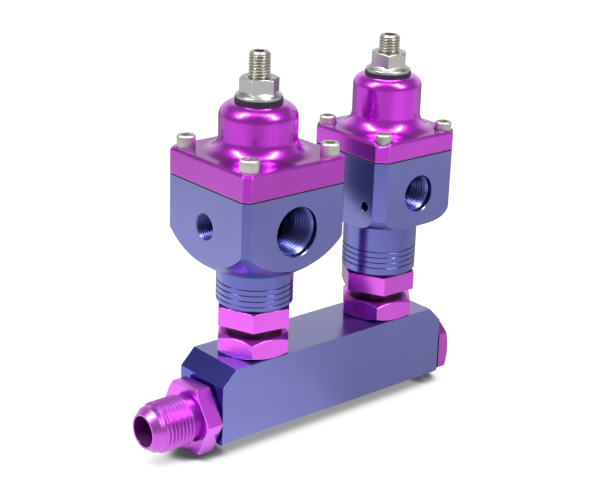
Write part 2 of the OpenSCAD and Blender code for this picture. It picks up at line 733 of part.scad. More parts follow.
// Spring seat: button that spreads the adjusting screw's push over the spring
module spring_seat(i) {
    color(steel) on_axis(i) union() {
        translate([0, 0, seat_disc_z[i]])
            cylinder(d = main_coil_d + main_wire_d + 2 * seat_disc_rim, h = seat_disc_t);
        translate([0, 0, seat_disc_z[i] - spring_pilot_h])
            cylinder(d = spring_pilot_d, h = spring_pilot_h + eps);
        translate([0, 0, seat_disc_z[i] + seat_disc_t - eps])
            cylinder(d = stud_d + 2 * seat_boss_rim, h = seat_boss_h + eps);
    }
}

// Cap: square flange with a turned tower that houses the main spring
module cap(i) {
    tower_r = tower_d[i] / 2;
    shoulder = shoulder_r[i];
    color(purple) difference() {
        on_axis(i) difference() {
            union() {
                translate([0, 0, flange_z[i]]) linear_extrude(flange_t[i] - flange_edge)
                    cut_square(block_w[i], corner[i]);
                hull() {
                    translate([0, 0, flange_top[i] - flange_edge - eps]) linear_extrude(eps)
                        cut_square(block_w[i], corner[i]);
                    translate([0, 0, flange_top[i] - eps]) linear_extrude(eps)
                        cut_square(block_w[i] - 2 * flange_edge, corner[i]);
                }
                difference() {
                    translate([0, 0, flange_top[i] - eps])
                        cylinder(r = tower_r + tower_fillet_r, h = tower_fillet_r);
                    translate([0, 0, flange_top[i] + tower_fillet_r]) o_ring(tower_r, 2 * tower_fillet_r);
                }
                translate([0, 0, flange_z[i]])
                    cylinder(r = tower_r, h = tower_top[i] - shoulder - flange_z[i]);
                translate([0, 0, tower_top[i] - shoulder]) o_ring(tower_r - 2 * shoulder, 2 * shoulder);
                translate([0, 0, flange_z[i]])
                    cylinder(r = tower_r - shoulder, h = tower_top[i] - flange_z[i]);
            }
            translate([0, 0, flange_z[i] - cut])
                cylinder(d = spring_chamber_d[i], h = roof_z[i] - flange_z[i] + cut);
            translate([0, 0, flange_z[i] - cut]) cylinder(d = chamber_d[i], h = plate_room + cut);
            translate([0, 0, roof_z[i] - cut]) cylinder(d = stud_d + 2 * thread_gap, h = roof_t + 2 * cut);
        }
        translate([0, 0, flange_z[i] - cut]) at_screws(i)
            cylinder(d = clear_hole_d, h = flange_t[i] + 2 * cut);
        translate([0, 0, flange_top[i] - head_sunk[i]]) at_screws(i)
            cylinder(d = head_d[i] + 2 * head_room, h = tower_fillet_r);
    }
}

// Four socket head screws that clamp cap, diaphragm and body
module cap_screws(i) {
    head_z = flange_top[i] - head_sunk[i];
    length = head_z - body_top[i] + screw_grip;
    color(steel) at_screws(i) difference() {
        union() {
            translate([0, 0, head_z - length]) cylinder(d = screw_d, h = length + eps);
            translate([0, 0, head_z]) cylinder(d = head_d[i], h = screw_head_h);
        }
        translate([0, 0, head_z + screw_head_h - screw_socket_depth])
            cylinder(r = hex_r(screw_socket_af), h = screw_head_h, $fn = 6);
    }
}

module seal_washer(i) {
    color(black) on_axis(i) translate([0, 0, tower_top[i]])
        ring(stud_d / 2 + 2 * thread_gap, washer_d / 2, washer_t[i]);
}

// Adjusting screw: socket set screw through the roof onto the spring seat
module adjusting_screw(i) {
    length = stud_top[i] - seat_boss_top[i] - slip_gap;
    color(steel) on_axis(i) translate([0, 0, seat_boss_top[i] + slip_gap]) difference() {
        union() {
            cylinder(d1 = stud_d - 2 * stud_end_cut, d2 = stud_d, h = stud_end_cut);
            translate([0, 0, stud_end_cut]) cylinder(d = stud_d, h = length - 2 * stud_end_cut);
            translate([0, 0, length - stud_end_cut])
                cylinder(d1 = stud_d, d2 = stud_d - 2 * stud_end_cut, h = stud_end_cut);
        }
        translate([0, 0, length - stud_socket_depth])
            cylinder(r = hex_r(stud_socket_af), h = stud_socket_depth + cut, $fn = 6);
    }
}

// Lock nut: hexagon nut with a flange that bears on the washer
module lock_nut(i) {
    color(steel) on_axis(i) translate([0, 0, washer_top[i]]) difference() {
        union() {
            cylinder(d = nut_flange_d, h = nut_flange_t);
            translate([0, 0, nut_flange_t])
                cylinder(d1 = nut_flange_d, d2 = nut_af, h = nut_flange_rise);
            rotate([0, 0, nut_turn[i]]) hex_head(nut_af, nut_h, nut_face);
        }
        translate([0, 0, -cut]) cylinder(d = stud_d + 2 * thread_gap, h = nut_h + 2 * cut);
    }
}

log_block();
inlet_fitting();
inlet_o_ring();
end_plug();
end_plug_o_ring();
coupler_lower(front);  // front_coupler_lower
log_o_ring(front);  // front_log_o_ring
coupler_upper(front);  // front_coupler_upper
swivel_o_ring(front);  // front_swivel_o_ring
swivel_wire(front);  // front_swivel_wire
neck_o_ring(front);  // front_neck_o_ring
body(front);  // front_body
valve_seat(front);  // front_valve_seat
valve_poppet(front);  // front_valve_poppet
valve_spring(front);  // front_valve_spring
diaphragm(front);  // front_diaphragm
lower_plate(front);  // front_lower_plate
upper_plate(front);  // front_upper_plate
main_spring(front);  // front_main_spring
spring_seat(front);  // front_spring_seat
cap(front);  // front_cap
cap_screws(front);  // front_cap_screws
seal_washer(front);  // front_seal_washer
adjusting_screw(front);  // front_adjusting_screw
lock_nut(front);  // front_lock_nut
coupler_lower(rear);  // rear_coupler_lower
log_o_ring(rear);  // rear_log_o_ring
coupler_upper(rear);  // rear_coupler_upper
swivel_o_ring(rear);  // rear_swivel_o_ring
swivel_wire(rear);  // rear_swivel_wire
neck_o_ring(rear);  // rear_neck_o_ring
body(rear);  // rear_body
valve_seat(rear);  // rear_valve_seat
valve_poppet(rear);  // rear_valve_poppet
valve_spring(rear);  // rear_valve_spring
diaphragm(rear);  // rear_diaphragm
lower_plate(rear);  // rear_lower_plate
upper_plate(rear);  // rear_upper_plate
main_spring(rear);  // rear_main_spring
spring_seat(rear);  // rear_spring_seat
cap(rear);  // rear_cap
cap_screws(rear);  // rear_cap_screws
seal_washer(rear);  // rear_seal_washer
adjusting_screw(rear);  // rear_adjusting_screw
lock_nut(rear);  // rear_lock_nut
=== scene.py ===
import math

import bpy
from mathutils import Matrix, Vector


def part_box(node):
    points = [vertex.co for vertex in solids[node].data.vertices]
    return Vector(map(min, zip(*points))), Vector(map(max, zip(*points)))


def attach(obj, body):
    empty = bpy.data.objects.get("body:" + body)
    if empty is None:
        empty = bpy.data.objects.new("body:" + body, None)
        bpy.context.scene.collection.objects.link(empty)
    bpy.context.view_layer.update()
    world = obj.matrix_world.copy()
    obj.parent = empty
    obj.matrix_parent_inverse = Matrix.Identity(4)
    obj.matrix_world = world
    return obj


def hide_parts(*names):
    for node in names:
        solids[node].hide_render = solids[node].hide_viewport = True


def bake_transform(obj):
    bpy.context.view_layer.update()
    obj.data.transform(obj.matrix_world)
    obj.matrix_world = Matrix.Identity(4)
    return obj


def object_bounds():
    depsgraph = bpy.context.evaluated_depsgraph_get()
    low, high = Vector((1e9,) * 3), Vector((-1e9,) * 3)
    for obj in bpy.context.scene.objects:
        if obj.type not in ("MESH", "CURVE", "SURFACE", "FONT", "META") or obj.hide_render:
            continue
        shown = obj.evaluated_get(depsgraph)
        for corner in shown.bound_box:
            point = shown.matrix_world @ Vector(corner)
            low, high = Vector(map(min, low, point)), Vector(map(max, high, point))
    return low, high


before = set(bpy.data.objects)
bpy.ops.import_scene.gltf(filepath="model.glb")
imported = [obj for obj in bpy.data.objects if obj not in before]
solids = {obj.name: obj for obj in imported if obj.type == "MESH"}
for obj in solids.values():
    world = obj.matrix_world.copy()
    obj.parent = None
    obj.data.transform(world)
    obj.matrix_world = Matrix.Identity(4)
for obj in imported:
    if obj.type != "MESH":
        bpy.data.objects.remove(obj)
cad_low, cad_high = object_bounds()
bpy.ops.object.select_all(action="DESELECT")


# The log: a length of extruded aluminium bar with both ends milled square and their top corners cut back,
# blasted to a satin and dyed blue in an anodising bath. Both end fittings and the couplers screw into it.
BLUE_DYE = (0.128, 0.132, 0.415, 1)
DEEP_BLUE_DYE = (0.055, 0.058, 0.420, 1)
BLUE_WORN_AND_LIT = (0.420, 0.440, 0.680, 1)
ANODISED = {"Metallic": 0.92, "Coat Weight": 1.0, "Coat Roughness": 0.18, "Coat IOR": 1.5}
MILLED = {"Metallic": 0.96, "Coat Weight": 0.5, "Coat Roughness": 0.10, "Coat IOR": 1.5}
PATCHES = {"Scale": 420.0, "Detail": 4.0}
CLOUDS = {"Scale": 60.0, "Detail": 3.0}
GRAIN_DETAIL = 2.0
GRAIN_HEIGHT = 0.0001
# Spans are the value at both ends and the level at both ends.
WORN_AND_LIT_SPAN = (0.99, 0.80, 0.0, 1.0)
PATCH_SPAN = (0.35, 0.65, 0.25, 1.0)
CLOUD_SPAN = (0.3, 0.7, -1.0, 1.0)
HAZE_SPAN = (0.3, 0.7, 0.93, 1.08)
JOIN_WITHIN = 0.0000005
SMOOTH_UP_TO = math.radians(28)
MILLED_TILT = 0.3


def add_node(tree, kind, inputs=None, **settings):
    """Adds a shader node, sets its values and joins other nodes' outputs to its inputs."""
    node = tree.nodes.new("ShaderNode" + kind)
    for name, value in settings.items():
        setattr(node, name, value)
    for key, value in (inputs or {}).items():
        if isinstance(value, bpy.types.NodeSocket):
            tree.links.new(value, node.inputs[key])
        else:
            node.inputs[key].default_value = value
    return node


def calc(tree, operation, first, second=0.0, third=0.0, clamp=False):
    """Works out numbers or nodes' outputs."""
    node = add_node(tree, "Math", {0: first, 1: second, 2: third}, operation=operation, use_clamp=clamp)
    return node.outputs["Value"]


def ramp(tree, value, span, smooth=True):
    """Turns a value into a level, along a span."""
    names = ("From Min", "From Max", "To Min", "To Max")
    node = add_node(
        tree, "MapRange", {"Value": value, **dict(zip(names, span))},
        interpolation_type="SMOOTHSTEP" if smooth else "LINEAR",
    )
    return node.outputs["Result"]


def scaled(tree, colour, factor):
    """A colour times a number."""
    node = add_node(tree, "VectorMath", {0: colour, "Scale": factor}, operation="SCALE")
    return node.outputs["Vector"]


def worn_and_lit_edge_metal():
    """Slow clouds in the colour, a paler line along edges that is partly wear and partly painted highlight,
    uneven gloss and a fine blasted grain.
    """
    tree = bpy.data.node_groups.new("worn_and_lit_edge_metal", "ShaderNodeTree")
    for label, kind, value in (
        ("Colour", "Color", (0.5, 0.5, 0.5, 1)),
        ("Worn Colour", "Color", (0.8, 0.8, 0.8, 1)),
        ("Edge Width", "Float", 0.0003),
        ("Edge Wear", "Float", 0.5),
        ("Clouds", "Float", 0.08),
        ("Gloss", "Float", 0.25),
        ("Grain Size", "Float", 0.0003),
        ("Grain", "Float", 0.05),
    ):
        socket = tree.interface.new_socket(label, in_out="INPUT", socket_type="NodeSocket" + kind)
        socket.default_value = value
    for label, kind in (("Colour", "Color"), ("Roughness", "Float"), ("Normal", "Vector")):
        tree.interface.new_socket(label, in_out="OUTPUT", socket_type="NodeSocket" + kind)
    given = tree.nodes.new("NodeGroupInput").outputs
    result = tree.nodes.new("NodeGroupOutput").inputs
    place = add_node(tree, "TexCoord").outputs["Object"]
    surface = add_node(tree, "NewGeometry").outputs["Normal"]
    rounded = add_node(tree, "Bevel", {"Radius": given["Edge Width"]}, samples=6).outputs["Normal"]
    facing = add_node(tree, "VectorMath", {0: surface, 1: rounded}, operation="DOT_PRODUCT").outputs["Value"]
    patches = add_node(tree, "TexNoise", {"Vector": place, **PATCHES}).outputs["Fac"]
    uneven = ramp(tree, patches, PATCH_SPAN, smooth=False)
    # The paler line along edges is partly wear and partly a painted highlight where lamps would catch rounded
    # edges.
    edge = calc(tree, "MULTIPLY", ramp(tree, facing, WORN_AND_LIT_SPAN, smooth=False), uneven)
    edge = calc(tree, "MULTIPLY", edge, given["Edge Wear"])
    clouds = add_node(tree, "TexNoise", {"Vector": place, **CLOUDS}).outputs["Fac"]
    swing = calc(tree, "MULTIPLY_ADD", ramp(tree, clouds, CLOUD_SPAN, smooth=False), given["Clouds"], 1.0)
    clouded = scaled(tree, given["Colour"], swing)
    # A mix of colours takes its factor at socket 0 and its colours at 6 and 7, and puts out at 2.
    colour = add_node(tree, "Mix", {0: edge, 6: clouded, 7: given["Worn Colour"]}, data_type="RGBA")
    tree.links.new(colour.outputs[2], result["Colour"])
    gloss = calc(tree, "MULTIPLY", given["Gloss"], ramp(tree, clouds, HAZE_SPAN, smooth=False))
    tree.links.new(gloss, result["Roughness"])
    grain_scale = calc(tree, "DIVIDE", 1.0, given["Grain Size"])
    grain = add_node(tree, "TexNoise", {"Vector": place, "Scale": grain_scale, "Detail": GRAIN_DETAIL})
    bump = add_node(
        tree, "Bump",
        {
            "Strength": given["Grain"],
            "Distance": GRAIN_HEIGHT,
            "Height": grain.outputs["Fac"],
            "Normal": rounded,
        },
    )
    tree.links.new(bump.outputs["Normal"], result["Normal"])
    return tree


worn_and_lit_edges = worn_and_lit_edge_metal()


def finish_material(name, shader_values, **skin):
    """A metal finish: the group of worn edges with painted highlight, given its own values, feeding one
    shader.
    """
    material = bpy.data.materials.new(name)
    material.use_nodes = True
    tree = material.node_tree
    tree.nodes.clear()
    group = tree.nodes.new("ShaderNodeGroup")
    group.node_tree = worn_and_lit_edges
    for key, value in skin.items():
        group.inputs[key.replace("_", " ").title()].default_value = value
    shader = add_node(
        tree, "BsdfPrincipled",
        {
            "Base Color": group.outputs["Colour"],
            "Roughness": group.outputs["Roughness"],
            "Normal": group.outputs["Normal"],
            **shader_values,
        },
    )
    add_node(tree, "OutputMaterial", {"Surface": shader.outputs["BSDF"]})
    return material


def dress(material, *names):
    """Gives solids of the frame their finish."""
    for name in names:
        solid = solids[name]
        solid.data.materials.clear()
        solid.data.materials.append(material)


def merged_copy(name, solid):
    """A copy of a solid's mesh with its loose triangles joined, ready to be worked on."""
    bpy.ops.object.select_all(action="DESELECT")
    piece = bpy.data.objects.new(name, solids[solid].data.copy())
    piece.data.name = name
    bpy.context.scene.collection.objects.link(piece)
    piece.select_set(True)
    bpy.context.view_layer.objects.active = piece
    bpy.ops.mesh.customdata_custom_splitnormals_clear()
    bpy.ops.object.mode_set(mode="EDIT")
    bpy.ops.mesh.select_all(action="SELECT")
    bpy.ops.mesh.remove_doubles(threshold=JOIN_WITHIN)
    bpy.ops.object.mode_set(mode="OBJECT")
    return piece


def complete(piece, materials, body, slot, *replaced, choose=None):
    """Smooths a piece up to its sharp edges, gives each face its finish and hangs the piece on its body."""
    bpy.ops.object.select_all(action="DESELECT")
    bpy.context.view_layer.objects.active = piece
    piece.select_set(True)
    bpy.ops.object.shade_smooth_by_angle(angle=SMOOTH_UP_TO)
    piece.data.materials.clear()
    for material in materials:
        piece.data.materials.append(material)
    for face in piece.data.polygons:
        face.material_index = int(choose(face)) if choose else 0
    if body:
        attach(piece, body)
    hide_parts(*replaced)


blue_anodise = finish_material(
    "blue_anodise", ANODISED, colour=BLUE_DYE, worn_colour=BLUE_WORN_AND_LIT, edge_width=0.0004, edge_wear=0.55,
    clouds=0.05, gloss=0.24, grain_size=0.00025, grain=0.08,
)
blue_milled = finish_material(
    "blue_milled", MILLED, colour=DEEP_BLUE_DYE, worn_colour=BLUE_WORN_AND_LIT, edge_width=0.0003, edge_wear=0.6,
    clouds=0.05, gloss=0.20, grain_size=0.00025, grain=0.05,
)
bar = merged_copy("log_bar", "log_block")
complete(
    bar, (blue_anodise, blue_milled), "log", "blue_anodise", "log_block",
    choose=lambda face: abs(face.normal.x) > MILLED_TILT,
)


# The inlet union, the blanking plug at the far end and their rubber O-rings: turned from hexagon bar, dyed
# purple and screwed into the log's end ports. The union's nose has a rolled hose thread and a flare cone.
PURPLE_DYE = (0.640, 0.088, 0.700, 1)
UNION_DYE = (0.475, 0.088, 0.555, 1)
HEXAGON_DYE = (0.580, 0.060, 0.730, 1)
PLUG_DYE = (0.540, 0.072, 0.560, 1)
PURPLE_WORN_AND_LIT = (0.860, 0.400, 0.900, 1)
TURNED_DYE = {"Metallic": 0.94, "Coat Weight": 0.6, "Coat Roughness": 0.14, "Coat IOR": 1.5}
THREAD_SHINE = {"Metallic": 0.92, "Coat Weight": 0.3, "Coat Roughness": 0.35, "Coat IOR": 1.5}
HEXAGON_SKIN = {
    "worn_colour": PURPLE_WORN_AND_LIT, "edge_width": 0.0004, "edge_wear": 0.6, "clouds": 0.05, "gloss": 0.22,
    "grain_size": 0.0004, "grain": 0.01,
}
UNION_THREAD = {
    "outer": 0.009525, "deep": 0.00097, "half_width": 0.00074, "past": 0.00012,
    "pitch": 0.0015875, "turns": 7,
}
UNION_NOSE = 0.0054
UNION_HEXAGON = 0.0080
STEPS_PER_TURN = 48
purple_anodise = finish_material(
    "purple_anodise", TURNED_DYE, colour=PURPLE_DYE, worn_colour=PURPLE_WORN_AND_LIT, edge_width=0.0003,
    edge_wear=0.45, clouds=0.06, gloss=0.19, grain_size=0.0004, grain=0.05,
)
purple_thread = finish_material(
    "purple_thread", THREAD_SHINE, colour=UNION_DYE, worn_colour=PURPLE_WORN_AND_LIT, edge_width=0.00008,
    edge_wear=0.6, clouds=0.06, gloss=0.31, grain_size=0.0004, grain=0.01,
)
purple_hexagon = finish_material("purple_hexagon", TURNED_DYE, colour=HEXAGON_DYE, **HEXAGON_SKIN)
purple_plug = finish_material("purple_plug", TURNED_DYE, colour=PLUG_DYE, **HEXAGON_SKIN)
rubber = finish_material(
    "rubber", {"Specular IOR Level": 0.35}, colour=(0.012, 0.012, 0.013, 1),
    worn_colour=(0.05, 0.05, 0.05, 1), edge_width=0.0002, edge_wear=0.3, clouds=0.2, gloss=0.55,
    grain_size=0.0003, grain=0.2,
)


def helix(root, mouth, half_width, pitch, turns, place, axis):
    """A closed V section wound round an axis, from its root radius to its mouth radius."""
    bpy.ops.object.select_all(action="DESELECT")
    bpy.ops.mesh.primitive_circle_add(vertices=3, radius=pitch, fill_type="NOTHING")
    winding = bpy.context.object
    section = ((root, 0), (mouth, half_width), (mouth, -half_width))
    for corner, (out, along) in zip(winding.data.vertices, section):
        corner.co = (out, 0, along)
    screw = winding.modifiers.new("screw", "SCREW")
    screw.angle = 2 * math.pi
    screw.screw_offset = pitch
    screw.iterations = turns
    screw.steps = screw.render_steps = STEPS_PER_TURN
    bpy.ops.object.modifier_apply(modifier="screw")
    bpy.ops.object.mode_set(mode="EDIT")
    bpy.ops.mesh.select_all(action="SELECT")
    bpy.ops.mesh.fill_holes(sides=3)
    bpy.ops.mesh.normals_make_consistent(inside=False)
    bpy.ops.object.mode_set(mode="OBJECT")
    turn = Vector(axis).to_track_quat("Z", "X").to_matrix().to_4x4()
    winding.matrix_world = Matrix.Translation(place) @ turn
    bpy.ops.object.transform_apply()
    return winding


def cut(piece, cutter):
    """Takes a cutter's shape out of a piece and throws the cutter away."""
    bpy.ops.object.select_all(action="DESELECT")
    bpy.context.view_layer.objects.active = piece
    piece.select_set(True)
    difference = piece.modifiers.new("cut", "BOOLEAN")
    difference.operation = "DIFFERENCE"
    difference.solver = "EXACT"
    difference.object = cutter
    bpy.ops.object.modifier_apply(modifier="cut")
    bpy.data.meshes.remove(cutter.data)


def outer_thread(piece, thread, start, axis):
    """Cuts a helical groove into a shank, from its start along its axis."""
    root, mouth = thread["outer"] - thread["deep"], thread["outer"] + thread["past"]
    cut(piece, helix(root, mouth, thread["half_width"], thread["pitch"], thread["turns"], start, axis))


union_low, union_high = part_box("inlet_fitting")
union_axis_z = (union_low.z + union_high.z) / 2
hexagon_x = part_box("log_block")[0].x - UNION_HEXAGON
union = merged_copy("inlet_union", "inlet_fitting")
outer_thread(union, UNION_THREAD, (union_low.x + UNION_NOSE, 0, union_axis_z), (1, 0, 0))
complete(
    union, (purple_thread, purple_hexagon), "log", "purple_anodise", "inlet_fitting",
    choose=lambda face: face.center.x > hexagon_x,
)
dress(purple_plug, "end_plug")
dress(rubber, "inlet_o_ring", "end_plug_o_ring")


# The swivel couplers: under each regulator a purple lower hexagon screwed into the log and an upper one
# screwed into the body's neck, which turn on each other round a plain collar held by a hidden wire.
# The collar's ends are heights above the lower hexagon; between them the collar is finished near black as
# painted shade for the shadowed gap.
COLLAR_FOOT, COLLAR_TOP = 0.0002, 0.0035
spring_wire = finish_material(
    "spring_wire", {"Metallic": 1.0}, colour=(0.30, 0.29, 0.28, 1), worn_colour=(0.5, 0.5, 0.5, 1),
    edge_width=0.0001, edge_wear=0.2, clouds=0.1, gloss=0.3, grain_size=0.0002, grain=0.05,
)
# Near black finish for the collar: painted shade standing in for the dark gap under the upper hexagon.
painted_shade_collar = finish_material(
    "painted_shade_collar", {"Metallic": 0.7, "Specular IOR Level": 0.3}, colour=(0.030, 0.004, 0.030, 1),
    worn_colour=(0.12, 0.02, 0.13, 1), edge_width=0.0002, edge_wear=0.3, clouds=0.2, gloss=0.4,
    grain_size=0.0003, grain=0.1,
)
for side in ("front", "rear"):
    seat_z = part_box(side + "_coupler_lower")[1].z
    swivel = merged_copy(side + "_swivel_hexagon", side + "_coupler_upper")
    complete(
        swivel, (purple_anodise, painted_shade_collar), side + "_regulator", "purple_anodise", side + "_coupler_upper",
        choose=lambda face: COLLAR_FOOT < face.center.z - seat_z < COLLAR_TOP,
    )
    dress(purple_anodise, side + "_coupler_lower")
    dress(rubber, side + "_log_o_ring", side + "_neck_o_ring", side + "_swivel_o_ring")
    dress(spring_wire, side + "_swivel_wire")


# The regulator bodies: square blue blocks with a turned neck below, tapped on two faces for the outlets and
# on a third for a gauge. The taps leave fine helical grooves, duller than the blasted faces.
BODY_BOX = {side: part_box(side + "_body") for side in ("front", "rear")}
BODY_AXIS_X = {side: (low.x + high.x) / 2 for side, (low, high) in BODY_BOX.items()}
HALF_BLOCK = {side: (high.x - low.x) / 2 for side, (low, high) in BODY_BOX.items()}
PORT_BELOW_TOP = {"front": 0.0142, "rear": 0.0143}
PORT_Z = {side: high.z - PORT_BELOW_TOP[side] for side, (low, high) in BODY_BOX.items()}
SIDE_WITHIN = 0.0001
OUTLET_THREAD = {
    "front": {"bore": 0.0079, "deep": 0.00050, "pitch": 0.0014111, "turns": 6, "start": 0.0031},
    "rear": {"bore": 0.0057, "deep": 0.00050, "pitch": 0.0014111, "turns": 5, "start": 0.0031},
}
OUTLET_WALL = 0.0007
GAUGE_THREAD = {"bore": 0.0044, "deep": 0.00042, "pitch": 0.00094, "turns": 8, "start": 0.0004}
GAUGE_SIDE = {"front": -1, "rear": 1}
GAUGE_WALL = 0.0006
GAUGE_FROM = 0.008
TAP_PAST = 0.0001
TAP_HALF_WIDTH = 0.44
UNDERSIDE_TILT = -0.2
DULL = {"Metallic": 0.9, "Specular IOR Level": 0.3}
blue_turned = finish_material(
    "blue_turned", MILLED, colour=(0.122, 0.127, 0.425, 1), worn_colour=BLUE_WORN_AND_LIT, edge_width=0.0002,
    edge_wear=0.5, clouds=0.05, gloss=0.25, grain_size=0.00025, grain=0.05,
)
# Hole walls get a darker blue: painted shade inside the threaded holes, on a duller finish.
blue_bore_painted_shade = finish_material(
    "blue_bore_painted_shade", DULL, colour=(0.060, 0.065, 0.240, 1), worn_colour=BLUE_WORN_AND_LIT, edge_width=0.0001,
    edge_wear=0.6, clouds=0.05, gloss=0.31, grain_size=0.0003, grain=0.05,
)
# Downward faces of the dome get a darker blue: painted shade under the body, on a duller finish.
blue_underside_painted_shade = finish_material(
    "blue_underside_painted_shade", DULL, colour=(0.100, 0.104, 0.350, 1), worn_colour=BLUE_WORN_AND_LIT, edge_width=0.0001,
    edge_wear=0.6, clouds=0.05, gloss=0.33, grain_size=0.0003, grain=0.05,
)
BODY_FINISHES = (blue_turned, blue_anodise, blue_bore_painted_shade, blue_underside_painted_shade)


def tapped_hole(piece, thread, mouth, inward):
    """Cuts a helical groove into the wall of a hole, from its start depth below the mouth."""
    root, crest = thread["bore"] + thread["deep"], thread["bore"] - TAP_PAST
    start = Vector(mouth) + Vector(inward) * thread["start"]
    pitch = thread["pitch"]
    cut(piece, helix(root, crest, pitch * TAP_HALF_WIDTH, pitch, thread["turns"], start, inward))


def on_side(place, side):
    """Tells whether a place lies on one of the four square sides of a regulator."""
    reach = max(abs(place.x - BODY_AXIS_X[side]), abs(place.y))
    return reach > HALF_BLOCK[side] - SIDE_WITHIN


def in_hole(place, side):
    """Tells whether a place lies in the wall of one of a regulator's threaded holes."""
    along, up = place.x - BODY_AXIS_X[side], place.z - PORT_Z[side]
    in_outlet = math.hypot(along, up) < OUTLET_THREAD[side]["bore"] + OUTLET_WALL
    by_gauge = along * GAUGE_SIDE[side] > GAUGE_FROM
    return in_outlet or by_gauge and math.hypot(place.y, up) < GAUGE_THREAD["bore"] + GAUGE_WALL


def body_finish(face, side):
    """Picks a body face's finish: blasted sides, hole walls and undersides duller and darker with painted
    shade, and turned elsewhere.
    """
    if on_side(face.center, side):
        finish = blue_anodise
    elif in_hole(face.center, side):
        finish = blue_bore_painted_shade
    else:
        finish = blue_underside_painted_shade if face.normal.z < UNDERSIDE_TILT else blue_turned
    return BODY_FINISHES.index(finish)


for side in ("front", "rear"):
    block = merged_copy(side + "_block", side + "_body")
    axis_x, port_z, half = BODY_AXIS_X[side], PORT_Z[side], HALF_BLOCK[side]
    tapped_hole(block, OUTLET_THREAD[side], (axis_x, -half, port_z), (0, 1, 0))
    tapped_hole(block, OUTLET_THREAD[side], (axis_x, half, port_z), (0, -1, 0))
    gauge = GAUGE_SIDE[side]
    tapped_hole(block, GAUGE_THREAD, (axis_x + gauge * half, 0, port_z), (-gauge, 0, 0))
    complete(
        block, BODY_FINISHES, side + "_regulator", "blue_anodise", side + "_body",
        choose=lambda face: body_finish(face, side),
    )


# The valve in each body: a brass seat pressed in, a stainless poppet that closes it from below and is pushed
# open by its rod, and its light return spring. None of it shows, so it is finished plainly.
brass = finish_material(
    "brass", {"Metallic": 1.0}, colour=(0.55, 0.36, 0.13, 1), worn_colour=(0.75, 0.58, 0.30, 1),
    edge_width=0.0002, edge_wear=0.3, clouds=0.1, gloss=0.28, grain_size=0.0003, grain=0.05,
)
stainless = finish_material(
    "stainless", {"Metallic": 1.0}, colour=(0.52, 0.50, 0.47, 1), worn_colour=(0.70, 0.69, 0.67, 1),
    edge_width=0.0002, edge_wear=0.4, clouds=0.06, gloss=0.24, grain_size=0.0003, grain=0.05,
)
for side in ("front", "rear"):
    dress(brass, side + "_valve_seat")
    dress(stainless, side + "_valve_poppet")
    dress(spring_wire, side + "_valve_spring")


# The diaphragm: a moulded rubber sheet clamped between body and cap, whose edge is the dark seam, with
# plain aluminium plates that grip its middle. The main spring stands on them, under its seat.
plain_aluminium = finish_material(
    "plain_aluminium", {"Metallic": 1.0}, colour=(0.60, 0.60, 0.61, 1), worn_colour=(0.8, 0.8, 0.8, 1),
    edge_width=0.0003, edge_wear=0.3, clouds=0.06, gloss=0.3, grain_size=0.0003, grain=0.06,
)
zinc_plate = finish_material(
    "zinc_plate", {"Metallic": 1.0}, colour=(0.45, 0.45, 0.44, 1), worn_colour=(0.78, 0.77, 0.75, 1),
    edge_width=0.0003, edge_wear=0.4, clouds=0.08, gloss=0.30, grain_size=0.0004, grain=0.06,
)
for side in ("front", "rear"):
    dress(rubber, side + "_diaphragm")
    dress(plain_aluminium, side + "_lower_plate", side + "_upper_plate")
    dress(zinc_plate, side + "_spring_seat")
    coil = merged_copy(side + "_coil", side + "_main_spring")
    complete(coil, (spring_wire,), None, "spring_steel", side + "_main_spring")
    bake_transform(coil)


# The caps: milled and turned from bar and dyed purple, a square flange with cut corners under a tall tower
# that holds the spring. They are polished more than the bodies, and the rear one is coloured brighter than
# the front.
CAP_DYE = {"front": (0.460, 0.020, 0.550, 1), "rear": (0.550, 0.026, 0.660, 1)}
CAP_SIDE_DYE = {"front": (0.420, 0.040, 0.480, 1), "rear": (0.540, 0.046, 0.620, 1)}
FLANGE_THICK = {"front": 0.0096, "rear": 0.0072}
PAINTED_SHADE_BY_TILT = (0.70, 1.0, 0.0, 0.40)
SHADE_FADE_FROM, SHADE_FADE_TO = 0.001, 0.005


def shade_flange_top(material, flange_top):
    """Paints shade on a cap's flat top: darker and less glassy than its tower, fading out up the fillet."""
    tree = material.node_tree
    shader = next(node for node in tree.nodes if node.type == "BSDF_PRINCIPLED")
    dyed = shader.inputs["Base Color"].links[0].from_socket
    normal = add_node(tree, "NewGeometry").outputs["Normal"]
    place = add_node(tree, "TexCoord").outputs["Object"]
    tilt = add_node(tree, "SeparateXYZ", {0: normal}).outputs["Z"]
    height = add_node(tree, "SeparateXYZ", {0: place}).outputs["Z"]
    low = ramp(tree, height, (flange_top + SHADE_FADE_FROM, flange_top + SHADE_FADE_TO, 1.0, 0.0))
    # Faces that look up near the flange top are darkened and their coat thinned: painted shade.
    unshaded = calc(tree, "SUBTRACT", 1.0, calc(tree, "MULTIPLY", ramp(tree, tilt, PAINTED_SHADE_BY_TILT), low))
    tree.links.new(scaled(tree, dyed, unshaded), shader.inputs["Base Color"])
    coat = calc(tree, "MULTIPLY", unshaded, TURNED_DYE["Coat Weight"])
    tree.links.new(coat, shader.inputs["Coat Weight"])


